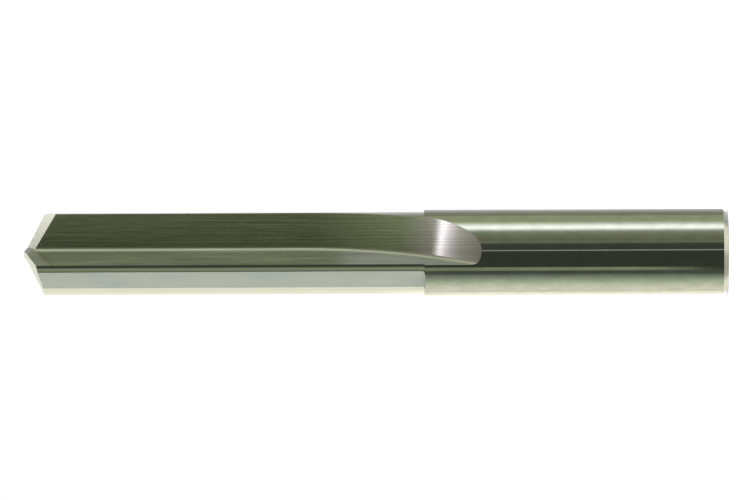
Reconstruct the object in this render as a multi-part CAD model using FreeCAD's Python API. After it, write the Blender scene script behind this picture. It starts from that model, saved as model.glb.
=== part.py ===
import FreeCAD, Part
import os
from math import acos, asin, cos, degrees, radians, sin, tan

from FreeCAD import Vector

# Straight-flute drill bit, ground from one round carbide rod.
# It stands on the end of its shank: the origin is the middle of that end face and +Z runs along the
# axis to the point. A place in a cross-section is given as (front, up): front is -Y, the side that the
# first cutting edge is on, and up is +X, the way that edge cuts.

# Rod and shank
overall_length = 82.1
shank_diameter = 10.0
shank_length = 35.4
body_diameter = 9.5
end_chamfer = 0.58
end_edge_round = 0.2

# Flutes: each is a wide V between a heel face and a rake face
flute_count = 2
heel_face_offset = 0.76
rake_face_offset = 0.77
rake_face_slope = 25.4
flute_corner_round = 0.54

# Run-out: the grinding wheel climbs out of each flute into the shank
full_flute_length = 32.05
wheel_radius = 50.0

# Land: a margin along the cutting edge, then a flat that starts a step below it and runs out to the heel
margin_width = 0.87
clearance_width = 2.47
clearance_step = 0.12
clearance_corner_round = 0.42
clearance_overrun = 0.1

# Point: two facets behind each lip
point_angle = 140.0
primary_relief = 12.0
secondary_relief = 20.2
primary_width = 0.94

# Web thinning: a notch from the middle of the point out over the heel of the other land
thinned_web = 1.1
thinned_lip_turn = 4.5
thinned_face_tilt = 12.0
notch_floor_slope = 47.0
notch_floor_heading = 33.7
notch_floor_drop = 0.27

# Values worked out from the sizes above
shank_radius = shank_diameter / 2
body_radius = body_diameter / 2
reach = overall_length
clear_of_rod = shank_diameter
axis = Vector(0, 0, 1)
tip = Vector(0, 0, overall_length)
flute_spacing = 360.0 / flute_count


def place(front, up, height=0.0):
    """Point at a distance to the front and up from the axis, at a height above the shank's end."""
    return Vector(up, -front, height)


def direction(angle):
    """Level way at an angle from the front, turned upwards."""
    return place(cos(radians(angle)), sin(radians(angle)))


def all_round(shape):
    """The shape and its copies for the other flutes."""
    copies = []
    for number in range(flute_count):
        turned = shape.copy()
        turned.rotate(Vector(), axis, number * flute_spacing)
        copies.append(turned)
    return copies


def space_beyond(point, normal):
    """Block that fills everything on the outer side of the plane through a point."""
    level = normal.cross(axis).normalize()
    fall = normal.cross(level).normalize()
    corners = [
        point + level * reach * along + fall * reach * down
        for along, down in ((-1, -1), (1, -1), (1, 1), (-1, 1))
    ]
    face = Part.Face(Part.makePolygon(corners + corners[:1]))
    return face.extrude(Vector(normal).normalize() * reach)


# Way of the rake face outwards in the cross-section, way it looks, and way back into the land
rake_out = direction(-rake_face_slope)
rake_normal = direction(90 - rake_face_slope)
land_back = rake_normal * -1

# Sharp corner of the flute, where the planes of its two faces cross
slope = radians(rake_face_slope)
corner_up = (rake_face_offset - heel_face_offset * sin(slope)) / cos(slope)
flute_corner = place(heel_face_offset, corner_up)

# Angle of the cutting edge round the axis, seen from the front
edge_angle = degrees(asin(rake_face_offset / body_radius)) - rake_face_slope


def rod():
    """Turned and ground rod: chamfered shank, shoulder and slightly thinner fluted body."""
    outline = [
        Vector(0, 0, 0),
        Vector(shank_radius - end_chamfer, 0, 0),
        Vector(shank_radius, 0, end_chamfer),
        Vector(shank_radius, 0, shank_length),
        Vector(body_radius, 0, shank_length),
        Vector(body_radius, 0, overall_length),
        Vector(0, 0, overall_length),
    ]
    face = Part.Face(Part.makePolygon(outline + outline[:1]))
    solid = face.revolve(Vector(), axis, 360)
    end_edges = [edge for edge in solid.Edges if is_end_edge(edge)]
    return solid.makeFillet(end_edge_round, end_edges)


def is_end_edge(edge):
    """True for the round edge between the shank's end face and its chamfer."""
    box = edge.BoundBox
    flat = box.ZMax < end_edge_round / 2
    wide = box.XLength > shank_diameter - 2 * end_chamfer - end_edge_round
    return flat and wide and len(edge.Vertexes) == 1


def flute_section(height):
    """Face of the space that the grinding wheel clears: a V with a rounded corner, open to the front."""
    corner = flute_corner + Vector(0, 0, height)
    heel_up = direction(90)
    half_opening = radians(90 + rake_face_slope) / 2
    tangent = flute_corner_round / tan(half_opening)
    bisector = (heel_up + rake_out).normalize()
    heel_tangent = corner + heel_up * tangent
    rake_tangent = corner + rake_out * tangent
    deepest = corner + bisector * (flute_corner_round / sin(half_opening) - flute_corner_round)
    heel_far = corner + heel_up * clear_of_rod
    rake_far = corner + rake_out * clear_of_rod
    outer = heel_far + rake_out * clear_of_rod
    edges = [
        Part.Arc(heel_tangent, deepest, rake_tangent).toShape(),
        Part.makeLine(rake_tangent, rake_far),
        Part.makeLine(rake_far, outer),
        Part.makeLine(outer, heel_far),
        Part.makeLine(heel_far, heel_tangent),
    ]
    return Part.Face(Part.Wire(edges))


def flute_space():
    """Straight run of one flute and the arc along which the wheel climbs out of it."""
    run_out_start = overall_length - full_flute_length
    section = flute_section(run_out_start)
    straight = section.extrude(axis * (full_flute_length + clear_of_rod))
    wheel_centre = flute_corner + rake_out * wheel_radius + axis * run_out_start
    climb = degrees(acos(1 - clear_of_rod / wheel_radius))
    run_out = section.revolve(wheel_centre, land_back, climb)
    return [straight, run_out]


def clearance_space():
    """Space over one land's flat, which runs just past the shoulder and ends in one rounded corner."""
    margin_angle = degrees(margin_width / body_radius)
    half_angle = degrees(asin(clearance_width / 2 / body_radius))
    middle_angle = edge_angle - margin_angle - half_angle
    outward = direction(middle_angle)
    to_margin = direction(middle_angle + 90)
    heel_edge = outward * (body_radius * cos(radians(half_angle))) - to_margin * (clearance_width / 2)
    margin_foot = heel_edge + to_margin * clearance_width - outward * clearance_step
    across = (margin_foot - heel_edge).normalize()
    near = axis * (shank_length - clearance_overrun)
    far = axis * (overall_length + clear_of_rod)
    outside = heel_edge - across * clearance_overrun
    corner = margin_foot + near
    on_end = corner - across * clearance_corner_round
    on_side = corner + axis * clearance_corner_round
    round_centre = on_end + axis * clearance_corner_round
    to_corner = (across - axis).normalize()
    edges = [
        Part.makeLine(outside + near, on_end),
        Part.Arc(on_end, round_centre + to_corner * clearance_corner_round, on_side).toShape(),
        Part.makeLine(on_side, margin_foot + far),
        Part.makeLine(margin_foot + far, outside + far),
        Part.makeLine(outside + far, outside + near),
    ]
    return Part.Face(Part.Wire(edges)).extrude(outward * clear_of_rod)


def lip_facets():
    """Spaces in front of the two facets behind one lip, which meet in a line beside the lip."""
    lip_fall = 1 / tan(radians(point_angle / 2))
    seam = land_back * (primary_width - rake_face_offset)
    seam_fall = tan(radians(primary_relief)) * (primary_width - rake_face_offset)
    primary = rake_out * lip_fall + land_back * tan(radians(primary_relief)) + axis
    secondary = rake_out * lip_fall + land_back * tan(radians(secondary_relief)) + axis
    return [
        space_beyond(tip, primary),
        space_beyond(tip + seam - axis * seam_fall, secondary),
    ]


def thinning_notch():
    """Notch whose steep side makes the inner lip and whose floor runs down over the other land's heel."""
    across = direction(90 - rake_face_slope + thinned_lip_turn)
    lip_side = across * cos(radians(thinned_face_tilt)) + axis * sin(radians(thinned_face_tilt))
    floor = direction(notch_floor_heading) * tan(radians(notch_floor_slope)) + axis
    beside_lip = space_beyond(tip + across * (thinned_web / 2), lip_side)
    above_floor = space_beyond(tip - axis * notch_floor_drop, floor)
    return beside_lip.common(above_floor)


def drill_bit():
    """The whole drill: the rod with its flutes, clearances, point facets and thinning ground away."""
    solid = rod()
    for space in flute_space():
        solid = solid.cut(all_round(space))
    solid = solid.cut(all_round(clearance_space()))
    for space in lip_facets():
        solid = solid.cut(all_round(space))
    solid = solid.cut(all_round(thinning_notch()))
    return solid.removeSplitter()


def main():
    """Writes the one solid that the drill is made of."""
    os.makedirs("parts", exist_ok=True)
    shape = drill_bit()
    shape.exportStep("parts/drill_bit.step")
    print("solids", len(shape.Solids), "valid", shape.isValid(), "volume", round(shape.Volume, 1))


main()
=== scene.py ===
"""Looks of a straight-flute drill bit: ground and polished carbide, finely meshed, in a white studio."""

from math import acos, asin, ceil, cos, degrees, radians, sin, tan

import bmesh
import bpy
from mathutils import Matrix, Vector


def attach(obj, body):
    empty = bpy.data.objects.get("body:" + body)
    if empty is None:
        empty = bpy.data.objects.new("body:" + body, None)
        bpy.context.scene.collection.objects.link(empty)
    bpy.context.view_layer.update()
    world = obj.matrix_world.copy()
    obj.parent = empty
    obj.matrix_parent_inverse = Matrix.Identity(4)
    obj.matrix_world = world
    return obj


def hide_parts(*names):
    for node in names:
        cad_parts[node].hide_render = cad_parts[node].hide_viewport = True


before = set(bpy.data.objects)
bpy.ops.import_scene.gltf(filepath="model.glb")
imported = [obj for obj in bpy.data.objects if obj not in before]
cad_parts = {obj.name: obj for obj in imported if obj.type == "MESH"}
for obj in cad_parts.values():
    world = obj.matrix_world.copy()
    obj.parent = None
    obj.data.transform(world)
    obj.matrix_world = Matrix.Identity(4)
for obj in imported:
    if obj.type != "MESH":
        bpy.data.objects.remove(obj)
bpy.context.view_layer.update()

MM = 0.001

# Sizes of the drill in millimetres, the same as in the part's source
overall_length = 82.1
shank_diameter = 10.0
shank_length = 35.4
body_diameter = 9.5
end_chamfer = 0.58
end_edge_round = 0.2
flute_count = 2
heel_face_offset = 0.76
rake_face_offset = 0.77
rake_face_slope = 25.4
flute_corner_round = 0.54
full_flute_length = 32.05
wheel_radius = 50.0
margin_width = 0.87
clearance_width = 2.47
clearance_step = 0.12
clearance_corner_round = 0.42
clearance_overrun = 0.1
point_angle = 140.0
primary_relief = 12.0
secondary_relief = 20.2
primary_width = 0.94
thinned_web = 1.1
thinned_lip_turn = 4.5
thinned_face_tilt = 12.0
notch_floor_slope = 47.0
notch_floor_heading = 33.7
notch_floor_drop = 0.27

# Fineness of the mesh, with lengths in millimetres and angles in degrees
rod_sides = 360
climb_step = 0.25
flute_corner_steps = 28
small_round_steps = 8
joined_within = 1e-4
no_length = 1e-5
flat_within = 0.02
sharp_from = 9

# Worked out from the sizes
shank_radius = shank_diameter / 2
body_radius = body_diameter / 2
clear_of_rod = shank_diameter
axis = Vector((0, 0, 1))
tip = Vector((0, 0, overall_length))

# The photograph's frame and the drill's place in it in pixels, and the camera in millimetres
picture_width = 750
picture_height = 500
shank_end_column = 727.35
axis_row_at_left = 254.65
axis_rise = 0.0044
pixel_size = 0.11675
camera_distance = 875.0
sensor_width = 36.0


def place(front, up, height=0.0):
    """Point at a distance to the front (-Y) and up (+X) from the axis, at a height on it."""
    return Vector((up, -front, height))


def direction(angle):
    """Level way at an angle from the front, turned upwards."""
    return place(cos(radians(angle)), sin(radians(angle)))


# Way of the rake face outwards in the cross-section, and way from it back into the land
rake_out = direction(-rake_face_slope)
land_back = direction(90 - rake_face_slope) * -1

# Sharp corner of the flute, where the planes of its two faces cross
slope = radians(rake_face_slope)
corner_up = (rake_face_offset - heel_face_offset * sin(slope)) / cos(slope)
flute_corner = place(heel_face_offset, corner_up)

# Angle of the cutting edge round the axis, seen from the front
edge_angle = degrees(asin(rake_face_offset / body_radius)) - rake_face_slope

# Surfaces of the drill, each with its own finish
surfaces = [
    "shank", "shank_end", "body", "heel_face", "flute_corner", "rake_face", "clearance", "facet", "notch",
]
finish_of = {name: number for number, name in enumerate(surfaces)}


def solid_from(name, corners, faces):
    """Object from corner points and faces, each face a tuple of corner numbers with a surface name."""
    mesh = bpy.data.meshes.new(name)
    mesh.from_pydata(corners, [], [face for face, _ in faces])
    for polygon, (_, surface) in zip(mesh.polygons, faces):
        polygon.material_index = finish_of[surface]
    work = bmesh.new()
    work.from_mesh(mesh)
    bmesh.ops.recalc_face_normals(work, faces=work.faces)
    work.to_mesh(mesh)
    work.free()
    return bpy.data.objects.new(name, mesh)


def swept(name, rings, side_surfaces):
    """Closed solid through a row of rings with the same number of points; one surface name for each side."""
    count = len(rings[0])
    corners = [point for ring in rings for point in ring]
    faces = []
    for row in range(len(rings) - 1):
        for side in range(count):
            following = (side + 1) % count
            here = row * count
            beyond = here + count
            face = (here + side, here + following, beyond + following, beyond + side)
            faces.append((face, side_surfaces[side]))
    last = (len(rings) - 1) * count
    faces.append((tuple(range(count)), side_surfaces[0]))
    faces.append((tuple(range(last, last + count)), side_surfaces[0]))
    return solid_from(name, corners, faces)


def arc(centre, start, end, steps):
    """Points along the short arc from start to end round a centre, both ends included."""
    first = start - centre
    turn = first.angle(end - centre)
    normal = first.cross(end - centre).normalized()
    return [centre + Matrix.Rotation(turn * step / steps, 3, normal) @ first for step in range(steps + 1)]


def rod():
    """Round rod with its chamfered shank end, shoulder and thinner body."""
    chamfer_top = Vector((shank_radius, 0, end_chamfer))
    chamfer_foot = Vector((shank_radius - end_chamfer, 0, 0))
    tangent = end_edge_round * tan(radians(45) / 2)
    round_centre = chamfer_foot + Vector((-tangent, 0, end_edge_round))
    along_chamfer = (chamfer_top - chamfer_foot).normalized()
    on_face = chamfer_foot - Vector((tangent, 0, 0))
    on_chamfer = chamfer_foot + along_chamfer * tangent
    rounding = arc(round_centre, on_face, on_chamfer, small_round_steps)
    profile = [(point, "shank_end") for point in rounding]
    profile.append((chamfer_top, "shank"))
    profile.append((Vector((shank_radius, 0, shank_length)), "shank"))
    profile.append((Vector((body_radius, 0, shank_length)), "body"))
    profile.append((Vector((body_radius, 0, overall_length)), "body"))
    rings = []
    for side in range(rod_sides):
        turn = Matrix.Rotation(radians(360 * side / rod_sides), 3, "Z")
        rings.append([turn @ point for point, _ in profile])
    corners = [point for ring in rings for point in ring]
    count = len(profile)
    faces = []
    for side in range(rod_sides):
        here = side * count
        beyond = (side + 1) % rod_sides * count
        for level in range(count - 1):
            face = (here + level, beyond + level, beyond + level + 1, here + level + 1)
            faces.append((face, profile[level][1]))
    faces.append((tuple(side * count for side in range(rod_sides)), "shank_end"))
    faces.append((tuple(side * count + count - 1 for side in range(rod_sides)), "body"))
    return solid_from("drill", corners, faces)


def flute_cutter():
    """Space that the grinding wheel clears: a rounded V along the body that climbs out of the shank."""
    heel_up = direction(90)
    half_opening = radians(90 + rake_face_slope) / 2
    tangent = flute_corner_round / tan(half_opening)
    bisector = (heel_up + rake_out).normalized()
    heel_tangent = flute_corner + heel_up * tangent
    rake_tangent = flute_corner + rake_out * tangent
    round_centre = flute_corner + bisector * (flute_corner_round / sin(half_opening))
    section = arc(round_centre, heel_tangent, rake_tangent, flute_corner_steps)
    sides = ["flute_corner"] * flute_corner_steps
    section += [
        flute_corner + rake_out * clear_of_rod,
        flute_corner + (heel_up + rake_out) * clear_of_rod,
        flute_corner + heel_up * clear_of_rod,
    ]
    sides += ["rake_face", "rake_face", "heel_face", "heel_face"]
    start = axis * (overall_length - full_flute_length)
    wheel_centre = flute_corner + rake_out * wheel_radius + start
    climb = degrees(acos(1 - clear_of_rod / wheel_radius))
    rings = [[point + axis * (overall_length + clear_of_rod) for point in section]]
    for step in range(int(climb / climb_step) + 1):
        turn = Matrix.Rotation(radians(step * climb_step), 3, land_back)
        rings.append([wheel_centre + turn @ (point + start - wheel_centre) for point in section])
    return swept("flute", rings, sides)


def clearance_cutter():
    """Space over one land's flat, with one rounded corner at the shoulder."""
    margin_angle = degrees(margin_width / body_radius)
    half_angle = degrees(asin(clearance_width / 2 / body_radius))
    middle_angle = edge_angle - margin_angle - half_angle
    outward = direction(middle_angle)
    to_margin = direction(middle_angle + 90)
    heel_edge = outward * (body_radius * cos(radians(half_angle))) - to_margin * (clearance_width / 2)
    margin_foot = heel_edge + to_margin * clearance_width - outward * clearance_step
    across = (margin_foot - heel_edge).normalized()
    near = axis * (shank_length - clearance_overrun)
    far = axis * (overall_length + clear_of_rod)
    outside = heel_edge - across * clearance_overrun
    rounded = margin_foot + near
    inwards = across * -clearance_corner_round
    upwards = axis * clearance_corner_round
    outline = arc(rounded + inwards + upwards, rounded + inwards, rounded + upwards, small_round_steps)
    outline += [margin_foot + far, outside + far, outside + near]
    rings = [outline, [point + outward * clear_of_rod for point in outline]]
    return swept("clearance_space", rings, ["clearance"] * len(outline))


def half_space(name, point, normal):
    """Block that fills everything on the outer side of the plane through a point."""
    reach = overall_length
    level = normal.cross(axis).normalized()
    fall = normal.cross(level).normalized()
    square = [
        point + level * reach * along + fall * reach * down
        for along, down in ((-1, -1), (1, -1), (1, 1), (-1, 1))
    ]
    outer = normal.normalized() * reach
    return swept(name, [square, [corner + outer for corner in square]], ["facet"] * len(square))


def facet_cutters():
    """Spaces in front of the two facets behind one lip."""
    lip_fall = 1 / tan(radians(point_angle / 2))
    seam_back = primary_width - rake_face_offset
    seam = tip + land_back * seam_back - axis * (tan(radians(primary_relief)) * seam_back)
    primary = rake_out * lip_fall + land_back * tan(radians(primary_relief)) + axis
    secondary = rake_out * lip_fall + land_back * tan(radians(secondary_relief)) + axis
    return [half_space("primary", tip, primary), half_space("secondary", seam, secondary)]


def wedge(name, edge_point, first_normal, second_normal, first_surface, second_surface):
    """Space beyond two planes that cross in a line through a point."""
    reach = overall_length
    edge = first_normal.cross(second_normal).normalized()
    on_first = edge.cross(first_normal).normalized()
    if on_first.dot(second_normal) < 0:
        on_first.negate()
    on_second = edge.cross(second_normal).normalized()
    if on_second.dot(first_normal) < 0:
        on_second.negate()
    triangle = [edge_point, edge_point + on_first * reach, edge_point + on_second * reach]
    rings = [[point - edge * reach for point in triangle], [point + edge * reach for point in triangle]]
    return swept(name, rings, [first_surface, second_surface, second_surface])


def crossing(first_point, first_normal, second_point, second_normal):
    """Point nearest to the drill's tip on the line where two planes cross."""
    line = first_normal.cross(second_normal)
    rows = Matrix((first_normal, second_normal, line))
    return rows.inverted() @ Vector(
        (first_normal.dot(first_point), second_normal.dot(second_point), line.dot(tip))
    )


def notch_cutter():
    """Space of the web thinning: beside the inner lip and above the notch's floor."""
    across = direction(90 - rake_face_slope + thinned_lip_turn)
    lip_side = across * cos(radians(thinned_face_tilt)) + axis * sin(radians(thinned_face_tilt))
    floor = direction(notch_floor_heading) * tan(radians(notch_floor_slope)) + axis
    beside_lip = tip + across * (thinned_web / 2)
    above_floor = tip - axis * notch_floor_drop
    edge_point = crossing(beside_lip, lip_side, above_floor, floor)
    return wedge("notch_space", edge_point, lip_side, floor, "rake_face", "notch")


def turned_copies(cutter):
    """The cutter and its copies for the other flutes."""
    copies = []
    for number in range(flute_count):
        turned = bpy.data.objects.new(cutter.name, cutter.data)
        turned.matrix_world = Matrix.Rotation(radians(360 * number / flute_count), 4, "Z")
        copies.append(turned)
    return copies


def finished(mesh):
    """The mesh with flat neighbours joined and the edges marked where it turns sharply."""
    work = bmesh.new()
    work.from_mesh(mesh)
    bmesh.ops.remove_doubles(work, verts=work.verts, dist=joined_within)
    bmesh.ops.dissolve_degenerate(work, edges=work.edges, dist=no_length)
    bmesh.ops.dissolve_limit(
        work, angle_limit=radians(flat_within), verts=work.verts, edges=work.edges, delimit={"MATERIAL"}
    )
    for face in work.faces:
        face.smooth = True
    for edge in work.edges:
        edge.smooth = edge.is_manifold and edge.calc_face_angle() < radians(sharp_from)
    work.to_mesh(mesh)
    work.free()
    return mesh


def drill_mesh():
    """The drill's final mesh in metres: the rod with every cutter taken away."""
    body = rod()
    tools = []
    for cutter in [flute_cutter(), clearance_cutter(), *facet_cutters(), notch_cutter()]:
        tools += turned_copies(cutter)
    collection = bpy.context.scene.collection
    for thing in [body, *tools]:
        collection.objects.link(thing)
    for tool in tools:
        cut = body.modifiers.new(tool.name, "BOOLEAN")
        cut.operation = "DIFFERENCE"
        cut.solver = "EXACT"
        cut.object = tool
    bpy.context.view_layer.update()
    evaluated = body.evaluated_get(bpy.context.evaluated_depsgraph_get())
    mesh = finished(bpy.data.meshes.new_from_object(evaluated))
    for thing in [body, *tools]:
        bpy.data.objects.remove(thing)
    mesh.transform(Matrix.Scale(MM, 4))
    return mesh


# Part of the noise's range that is used, and how much of the noise is left where painted shade makes the
# surface darker towards the drill's middle
noise_low = 0.3
noise_high = 0.7
noise_left = 0.6


def new_node(tree, kind, **values):
    """New shader node with its unlinked inputs set by name."""
    node = tree.nodes.new(kind)
    for name, value in values.items():
        node.inputs[name.replace("_", " ")].default_value = value
    return node


def calculation(tree, operation):
    """New node for one step of arithmetic."""
    node = tree.nodes.new("ShaderNodeMath")
    node.operation = operation
    return node


def noise(tree, for_each_mm):
    """Noise in object space, with the number of marks for each millimetre along X, Y and Z."""
    position = tree.nodes.new("ShaderNodeTexCoord")
    stretch = new_node(tree, "ShaderNodeMapping", Scale=Vector(for_each_mm) / MM)
    pattern = new_node(tree, "ShaderNodeTexNoise", Scale=1.0, Detail=4.0, Roughness=0.6)
    tree.links.new(position.outputs["Object"], stretch.inputs["Vector"])
    tree.links.new(stretch.outputs["Vector"], pattern.inputs["Vector"])
    return pattern.outputs["Fac"]


def in_range(tree, value, low, high):
    """Noise value mapped to a range."""
    ranged = new_node(
        tree, "ShaderNodeMapRange", From_Min=noise_low, From_Max=noise_high, To_Min=low, To_Max=high
    )
    tree.links.new(value, ranged.inputs["Value"])
    return ranged.outputs["Result"]


def shaded(tree, value, dark, light):
    """Colour between two shades by a noise value."""
    ramp = tree.nodes.new("ShaderNodeValToRGB")
    for stop, position, colour in zip(ramp.color_ramp.elements, (noise_low, noise_high), (dark, light)):
        stop.position = position
        stop.color = (*colour, 1)
    tree.links.new(value, ramp.inputs["Fac"])
    return ramp.outputs["Color"]


def painted_shade_towards_middle(tree, value, weight):
    """Softened noise value, raised towards the drill's outside and lowered towards its middle: painted
    shade, darker down in the hollows near the middle.
    """
    position = tree.nodes.new("ShaderNodeTexCoord")
    parts = tree.nodes.new("ShaderNodeSeparateXYZ")
    distance = calculation(tree, "ABSOLUTE")
    share = calculation(tree, "MULTIPLY_ADD")
    share.inputs[1].default_value = weight / (body_radius * MM)
    share.inputs[2].default_value = (1 - noise_left - weight) / 2
    total = calculation(tree, "MULTIPLY_ADD")
    total.inputs[1].default_value = noise_left
    tree.links.new(position.outputs["Object"], parts.inputs["Vector"])
    tree.links.new(parts.outputs["X"], distance.inputs[0])
    tree.links.new(distance.outputs["Value"], share.inputs[0])
    tree.links.new(value, total.inputs[0])
    tree.links.new(share.outputs["Value"], total.inputs[2])
    return total.outputs["Value"]


def ground_metal(
    name, dark, light, roughness, marks, mark_depth, blotches=(0.2, 0.2, 0.2), metallic=1.0, crosswise=0.0,
    painted_shade_inwards=0.0,
):
    """Ground carbide in two shades.

    The marks and the blotches are given for each millimetre along X, Y and Z, and the depth of the marks in
    millimetres. crosswise is how much more the reflections spread round the drill than along it, and the
    last argument is painted shade: how much of the shade goes by the distance from the drill's middle, so
    that the surface is darker towards the middle.
    """
    material = bpy.data.materials.new(name)
    material.use_nodes = True
    tree = material.node_tree
    shader = tree.nodes["Principled BSDF"]
    shader.inputs["Metallic"].default_value = metallic
    fine = noise(tree, marks)
    broad = noise(tree, blotches)
    # Painted shade: the colour darkens towards the drill's middle
    if painted_shade_inwards:
        broad = painted_shade_towards_middle(tree, broad, painted_shade_inwards)
    bump = new_node(tree, "ShaderNodeBump", Strength=1.0, Distance=mark_depth * MM)
    tree.links.new(shaded(tree, broad, dark, light), shader.inputs["Base Color"])
    tree.links.new(in_range(tree, fine, *roughness), shader.inputs["Roughness"])
    tree.links.new(fine, bump.inputs["Height"])
    tree.links.new(bump.outputs["Normal"], shader.inputs["Normal"])
    if crosswise:
        shader.inputs["Anisotropic"].default_value = crosswise
        tangent = tree.nodes.new("ShaderNodeTangent")
        tangent.direction_type = "RADIAL"
        tangent.axis = "Z"
        tree.links.new(tangent.outputs["Tangent"], shader.inputs["Tangent"])
    return material


# Marks for each millimetre along X, Y and Z
lengthwise = (4.0, 4.0, 0.03)
round_about = (0.08, 0.08, 7.0)
all_ways = (3.0, 3.0, 3.0)
gritty = (7.0, 7.0, 7.0)
gritty_blotches = (5.0, 5.0, 5.0)

# The two shades of polished carbide
polished_dark = (0.68, 0.69, 0.66)
polished_light = (0.72, 0.73, 0.7)

finishes = {
    "shank": {
        "dark": (0.5, 0.51, 0.475), "light": (0.605, 0.615, 0.585), "roughness": (0.015, 0.05),
        "marks": round_about, "mark_depth": 0.00002, "blotches": (1.0, 1.0, 0.6),
    },
    "shank_end": {
        "dark": polished_dark, "light": polished_light, "roughness": (0.15, 0.3),
        "marks": all_ways, "mark_depth": 0.0002,
    },
    "body": {
        "dark": polished_dark, "light": polished_light, "roughness": (0.03, 0.08),
        "marks": lengthwise, "mark_depth": 0.00004,
    },
    "heel_face": {
        "dark": (0.46, 0.48, 0.43), "light": (0.84, 0.87, 0.8), "roughness": (0.06, 0.11),
        "marks": (9.0, 0.0, 0.03), "mark_depth": 0.008, "blotches": (6.0, 0.0, 0.03),
        # painted shade: the heel face darkens down into the flute's V, where less of the bright surroundings
        # reach it
        "crosswise": 0.95, "painted_shade_inwards": 0.38,
    },
    "flute_corner": {
        "dark": (0.45, 0.46, 0.37), "light": (0.5, 0.51, 0.415), "roughness": (0.3, 0.4),
        "marks": lengthwise, "mark_depth": 0.0001,
    },
    "rake_face": {
        "dark": (0.42, 0.44, 0.44), "light": (0.66, 0.64, 0.61), "roughness": (0.09, 0.15),
        "marks": lengthwise, "mark_depth": 0.0002, "blotches": (1.2, 1.2, 0.12),
        "crosswise": 1.0,
    },
    "clearance": {
        "dark": (0.58, 0.61, 0.62), "light": (0.7, 0.7, 0.66), "roughness": (0.3, 0.36),
        "marks": lengthwise, "mark_depth": 0.0001, "blotches": (0.8, 0.8, 0.12),
        "metallic": 0.7,
    },
    "facet": {
        "dark": (0.62, 0.63, 0.58), "light": (0.8, 0.81, 0.76), "roughness": (0.3, 0.5),
        "marks": gritty, "mark_depth": 0.004, "blotches": gritty_blotches,
    },
    "notch": {
        "dark": (0.42, 0.43, 0.37), "light": (0.92, 0.93, 0.8), "roughness": (0.25, 0.4),
        "marks": gritty, "mark_depth": 0.003, "blotches": gritty_blotches,
        # painted shade: the notch darkens towards the drill's middle, deep in the recess
        "painted_shade_inwards": 0.28,
    },
}

drill = bpy.data.objects.new("drill", drill_mesh())
for surface in surfaces:
    drill.data.materials.append(ground_metal(surface, **finishes[surface]))
bpy.context.scene.collection.objects.link(drill)
even = drill.modifiers.new("even_normals", "WEIGHTED_NORMAL")
even.keep_sharp = True
even.weight = 100
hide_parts("drill_bit")
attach(drill, "root")


def glow_material(name):
    """Plain glow whose colour is stored on the mesh's points."""
    material = bpy.data.materials.new(name)
    material.use_nodes = True
    tree = material.node_tree
    tree.nodes.clear()
    stored = tree.nodes.new("ShaderNodeAttribute")
    stored.attribute_name = "glow"
    emission = tree.nodes.new("ShaderNodeEmission")
    output = tree.nodes.new("ShaderNodeOutputMaterial")
    tree.links.new(stored.outputs["Color"], emission.inputs["Color"])
    tree.links.new(emission.outputs["Emission"], output.inputs["Surface"])
    return material


card_glow = glow_material("card_glow")
card_distance = 2.0
middle = Vector((0, 0, overall_length / 2 * MM))


def seen_from_drill(angle, height):
    """Point of the studio at an angle from the front and a height angle above level, in degrees."""
    level = direction(angle) * cos(radians(height))
    return middle + (level + axis * sin(radians(height))) * card_distance


def card(name, angles, heights, glow):
    """Curved card that only reflections see; glow(angle, height) gives its colour."""
    corners = []
    colours = []
    for height in heights:
        for angle in angles:
            corners.append(seen_from_drill(angle, height))
            colours.append((*glow(angle, height), 1.0))
    faces = []
    for row in range(len(heights) - 1):
        for column in range(len(angles) - 1):
            here = row * len(angles) + column
            beyond = here + len(angles)
            faces.append((here, here + 1, beyond + 1, beyond))
    mesh = bpy.data.meshes.new(name)
    mesh.from_pydata(corners, [], faces)
    stored = mesh.attributes.new("glow", "FLOAT_COLOR", "POINT")
    for number, colour in enumerate(colours):
        stored.data[number].color = colour
    mesh.materials.append(card_glow)
    sheet = bpy.data.objects.new(name, mesh)
    bpy.context.scene.collection.objects.link(sheet)
    sheet.visible_camera = False
    sheet.visible_diffuse = False
    sheet.visible_shadow = False


def between(stops, position):
    """Value at a position in a list of (position, value) stops, straight between them."""
    for (first, low), (second, high) in zip(stops, stops[1:]):
        if first <= position <= second:
            return low + (high - low) * (position - first) / (second - first)
    return stops[-1][1]


def finely(stops, widest=4.0):
    """Positions of the stops, with more between those that lie far apart."""
    positions = []
    for (here, _), (following, _) in zip(stops, stops[1:]):
        steps = ceil((following - here) / widest)
        positions += [here + (following - here) * step / steps for step in range(steps)]
    return positions + [stops[-1][0]]


# Tints of the studio
plain = Vector((1.0, 1.0, 1.0))
shade = Vector((0.86, 1.0, 0.74))
olive = Vector((0.93, 1.0, 0.64))
daylight = Vector((0.95, 1.0, 0.93))
paper = Vector((1.02, 1.0, 0.82))

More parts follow.
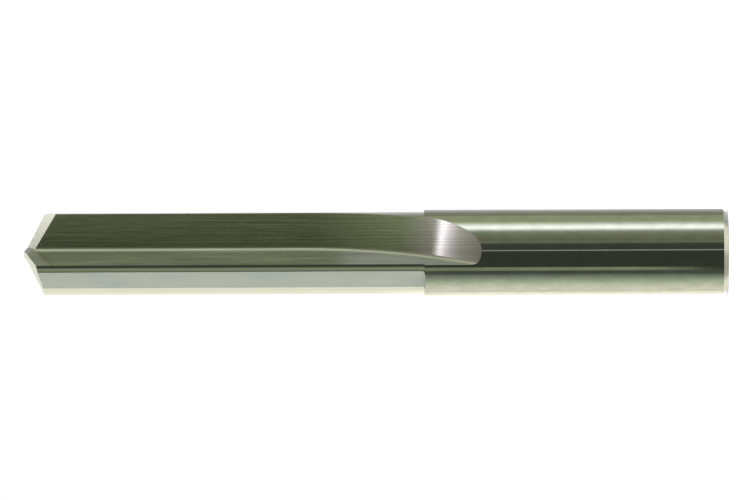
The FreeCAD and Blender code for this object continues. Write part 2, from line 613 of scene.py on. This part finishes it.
# What stands round the drill, from behind it underneath, past the camera and back behind it on top. Each
# piece has its tint, how many times brighter it is at the risen height than at level, and its brightness at
# angles from the camera's side, turned upwards in the picture. All angles and heights are in degrees.
surroundings = [
    (
        "sweep", paper, 1.0,
        [(-180, 1.0), (-160, 1.0), (-142, 1.04), (-138, 1.04), (-127, 0.98), (-117, 1.04), (-104, 0.92)],
    ),
    ("sweep_foot", shade, 1.0, [(-90, 0.75), (-76, 0.46), (-62, 0.19)]),
    ("table_edge", shade, 1.2, [(-59, 0.11), (-51.2, 0.11)]),
    ("low_strip", olive, 1.0, [(-49.3, 0.35), (-42, 0.36)]),
    ("black_cloth", shade, 2.7, [(-39.5, 0.06), (3.2, 0.06)]),
    ("slit", daylight, 1.0, [(4, 0.4), (6, 0.4)]),
    ("black_cloth_over_slit", shade, 3.0, [(6.6, 0.068), (18, 0.075), (23, 0.09)]),
    ("ceiling", olive, 1.9, [(26, 0.23), (34, 0.2), (46, 0.26)]),
    ("ceiling_edge", shade, 1.3, [(52, 0.31), (57, 0.4)]),
    ("window_edge", daylight, 1.3, [(61, 0.65)]),
    ("window", daylight, 0.35, [(65, 1.3), (70, 1.82), (77, 1.5), (82, 1.02)]),
    (
        "ceiling_behind", olive, 1.0,
        [(88, 0.66), (94, 0.47), (101, 0.46), (114, 0.45), (119, 0.32), (126, 0.3)],
    ),
    ("grey_wall", daylight, 1.6, [(138, 0.38), (152, 0.58), (180, 0.64)]),
]
round_stops = [(angle, tint * glow) for _, tint, _, row in surroundings for angle, glow in row]
rise_stops = [(angle, rise) for _, _, rise, row in surroundings for angle, _ in row]
wall_foot = -50
wall_top = 32.2
level_up_to = 4.0
risen_at = 25.0

# Violet haze high on the walls, for each degree above its start
haze_from = 24.0
haze = Vector((0.0128, 0.0073, 0.016))



def tinted_above(plain_to, tinted_from, tint):
    """Factor by height that leaves the wall as it is low down and tints it higher up."""
    return [(wall_foot, plain), (plain_to, plain), (tinted_from, tint), (wall_top, tint)]


# Places where the surroundings change with height: first angle, last angle, and factors by height
dark_panel = [(wall_foot, 1), (-31, 1), (-28, 0.2), (-9, 0.2), (-7, 1), (wall_top, 1)]
changes = [
    # The low strip is dim at the end of the shank, and the sweep behind is brightest along the shank
    (-49.3, -42, [(wall_foot, 0.2), (-3.7, 0.2), (-2.95, 1.0), (0, 0.78), (wall_top, 0.78)]),
    (-180, -138, [(wall_foot, 1), (-9, 1), (-7, 1.25), (-0.9, 1.25), (0, 1), (wall_top, 1)]),
    # The cloth and the ceiling are warmer along the body than along the shank
    (-20, 23, tinted_above(-0.52, -0.42, Vector((1, 1, 0.725)))),
    (26, 64, tinted_above(-0.52, -0.42, Vector((1, 1, 0.85)))),
    # A pale panel stands high at the ceiling's edge, and dark ones low behind the drill
    (45, 60, tinted_above(6.3, 7.2, Vector((1.8, 1.64, 2.45)))),
    (-150, -128, dark_panel),
    (122, 148, dark_panel),
]

# Heights at which the colour of the walls is worked out
heights_between = [level_up_to, 14, haze_from, 27]
wall_heights = sorted({height for *_, factors in changes for height, _ in factors} | set(heights_between))


def wall_glow(angle, height):
    """Colour of the surroundings, which brighten or darken evenly above their level part."""
    climb = max(height - level_up_to, 0.0) / (risen_at - level_up_to)
    glow = between(round_stops, angle) * (1 + (between(rise_stops, angle) - 1) * climb)
    for first, last, factors in changes:
        if first <= angle <= last:
            glow = glow * between(factors, height)
    return glow + haze * max(height - haze_from, 0.0)


card("surroundings", finely(round_stops), wall_heights, wall_glow)

# Paper under the shank's end, with its brightness by angle, darker on the side towards the table
under_end = [
    (-180, 0.75), (-145, 0.6), (-125, 0.48), (-113, 0.4), (-100, 0.56), (-60, 0.7), (60, 0.85), (105, 1.05),
    (130, 0.95), (180, 0.75),
]
under_stops = [(angle, paper * glow) for angle, glow in under_end]
under_heights = [-90, -80, -65, -50.5]
card("under_end", finely(under_stops, 8), under_heights, lambda angle, height: between(under_stops, angle))

# A bright strip that crosses above the camera, and the dimmer wall over it, with brightness by height
strip_tint = Vector((1.0, 0.91, 1.0))
over_strip_tint = Vector((1.0, 0.93, 0.86))
strip = [(wall_top, 0.42), (32.5, 0.5), (32.8, 2.25), (33.5, 1.95), (34.2, 1.25), (35, 0.92), (36, 0.7)]
over_strip = [(37, 0.52), (39, 0.4), (41, 0.33), (43, 0.27), (60, 0.24)]
strip_stops = [(height, strip_tint * glow) for height, glow in strip]
strip_stops += [(height, over_strip_tint * glow) for height, glow in over_strip]
strip_angles = range(-60, 101, 20)
card("over_camera", strip_angles, finely(strip_stops), lambda angle, height: between(strip_stops, height))


def plain_floor():
    """Pale round floor that keeps the drill's shadow and stays white in the picture."""
    mesh = bpy.data.meshes.new("floor")
    work = bmesh.new()
    bmesh.ops.create_circle(work, cap_ends=True, segments=96, radius=1.2)
    work.to_mesh(mesh)
    work.free()
    material = bpy.data.materials.new("floor_white")
    material.use_nodes = True
    shader = material.node_tree.nodes["Principled BSDF"]
    shader.inputs["Base Color"].default_value = (0.93, 0.93, 0.93, 1)
    shader.inputs["Roughness"].default_value = 0.9
    shader.inputs["Specular IOR Level"].default_value = 0.0
    shader.inputs["Emission Color"].default_value = (1, 1, 1, 1)
    shader.inputs["Emission Strength"].default_value = 0.2
    mesh.materials.append(material)
    floor = bpy.data.objects.new("floor", mesh)
    bpy.context.scene.collection.objects.link(floor)
    floor.visible_glossy = False


def white_world():
    """White behind the drill for the camera and for reflections, and soft light on everything else."""
    world = bpy.data.worlds.new("studio")
    bpy.context.scene.world = world
    world.use_nodes = True
    tree = world.node_tree
    background = tree.nodes["Background"]
    background.inputs["Color"].default_value = (1, 1, 1, 1)
    ray = tree.nodes.new("ShaderNodeLightPath")
    seen = calculation(tree, "MAXIMUM")
    seen_or_through = calculation(tree, "MAXIMUM")
    strength = new_node(tree, "ShaderNodeMapRange", To_Min=0.8, To_Max=1.0)
    tree.links.new(ray.outputs["Is Camera Ray"], seen.inputs[0])
    tree.links.new(ray.outputs["Is Glossy Ray"], seen.inputs[1])
    tree.links.new(seen.outputs["Value"], seen_or_through.inputs[0])
    tree.links.new(ray.outputs["Is Transmission Ray"], seen_or_through.inputs[1])
    tree.links.new(seen_or_through.outputs["Value"], strength.inputs["Value"])
    tree.links.new(strength.outputs["Result"], background.inputs["Strength"])


def soft_lamp():
    """One large soft lamp, high in front, for the shadow on the floor."""
    lamp = bpy.data.lights.new("soft_lamp", "AREA")
    lamp.shape = "DISK"
    lamp.size = 0.8
    lamp.energy = 12.0
    holder = bpy.data.objects.new("soft_lamp", lamp)
    holder.location = (0.1, -0.3, 1.4)
    holder.rotation_euler = (middle - Vector(holder.location)).to_track_quat("-Z", "Y").to_euler()
    holder.visible_glossy = False
    bpy.context.scene.collection.objects.link(holder)


def camera():
    """Camera level with the drill's middle, turned so that the drill lies with its point to the left."""
    half_width = picture_width / 2
    half_height = picture_height / 2
    height = (shank_end_column - half_width) * pixel_size
    up = (axis_row_at_left - axis_rise * half_width - half_height) * pixel_size
    right = Vector((-sin(axis_rise), 0, -cos(axis_rise)))
    upwards = Vector((cos(axis_rise), 0, -sin(axis_rise)))
    back = right.cross(upwards)
    data = bpy.data.cameras.new("camera")
    data.sensor_width = sensor_width
    data.lens = sensor_width * camera_distance / (picture_width * pixel_size)
    data.clip_start = 0.01
    data.clip_end = 20
    holder = bpy.data.objects.new("camera", data)
    turn = Matrix((right, upwards, back)).transposed().to_4x4()
    holder.matrix_world = Matrix.Translation(place(camera_distance, up, height) * MM) @ turn
    bpy.context.scene.collection.objects.link(holder)
    bpy.context.scene.camera = holder


plain_floor()
white_world()
soft_lamp()
camera()
bpy.context.scene.view_settings.view_transform = "Standard"
